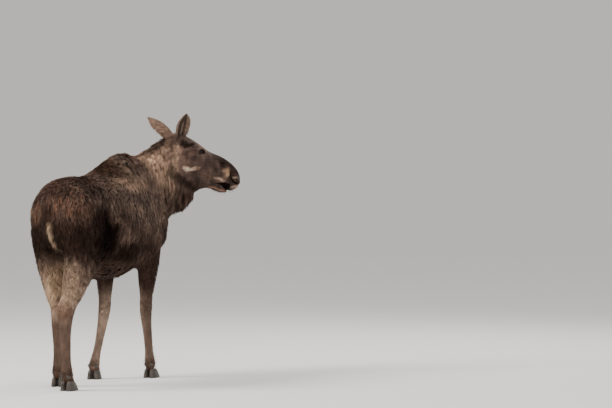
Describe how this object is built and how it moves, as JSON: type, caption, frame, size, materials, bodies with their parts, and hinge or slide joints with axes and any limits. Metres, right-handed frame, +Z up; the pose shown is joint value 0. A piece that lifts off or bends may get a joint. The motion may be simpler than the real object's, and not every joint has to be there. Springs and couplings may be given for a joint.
{
  "type": "standing moose cow model",
  "caption": "Life-size still model of an antlerless cow moose in winter coat, standing in mid-stride with its head turned to the right.",
  "frame": {"origin": "on the floor, under the middle of the whole animal's box", "axes": "+X forward along the body, +Y to the animal's left, +Z up"},
  "size_m": [2.1544, 0.853, 2.0445],
  "materials": {
    "coat": "long dark brown winter coat",
    "face": "short grey-brown face hair",
    "leg_coat": "short pale grey-beige leg hair",
    "hoof": "dull dark horn",
    "eye": "wet dark brown"
  },
  "bodies": {
    "root": {"trunk": "coat", "neck": "coat", "head": "face", "lower_jaw": "face", "tail": "coat", "ear_left": "face", "eye_left": "eye", "foreleg_left_forearm": "coat", "foreleg_left_shank": "leg_coat", "hind_leg_left_thigh": "coat", "hind_leg_left_shank": "leg_coat", "claw_fore_left_outer": "hoof", "dewclaw_fore_left_outer": "hoof", "claw_fore_left_inner": "hoof", "dewclaw_fore_left_inner": "hoof", "claw_hind_left_outer": "hoof", "dewclaw_hind_left_outer": "hoof", "claw_hind_left_inner": "hoof", "dewclaw_hind_left_inner": "hoof", "ear_right": "face", "eye_right": "eye", "foreleg_right_forearm": "coat", "foreleg_right_shank": "leg_coat", "hind_leg_right_thigh": "coat", "hind_leg_right_shank": "leg_coat", "claw_fore_right_outer": "hoof", "dewclaw_fore_right_outer": "hoof", "claw_fore_right_inner": "hoof", "dewclaw_fore_right_inner": "hoof", "claw_hind_right_outer": "hoof", "dewclaw_hind_right_outer": "hoof", "claw_hind_right_inner": "hoof", "dewclaw_hind_right_inner": "hoof"}
  },
  "joints": []
}
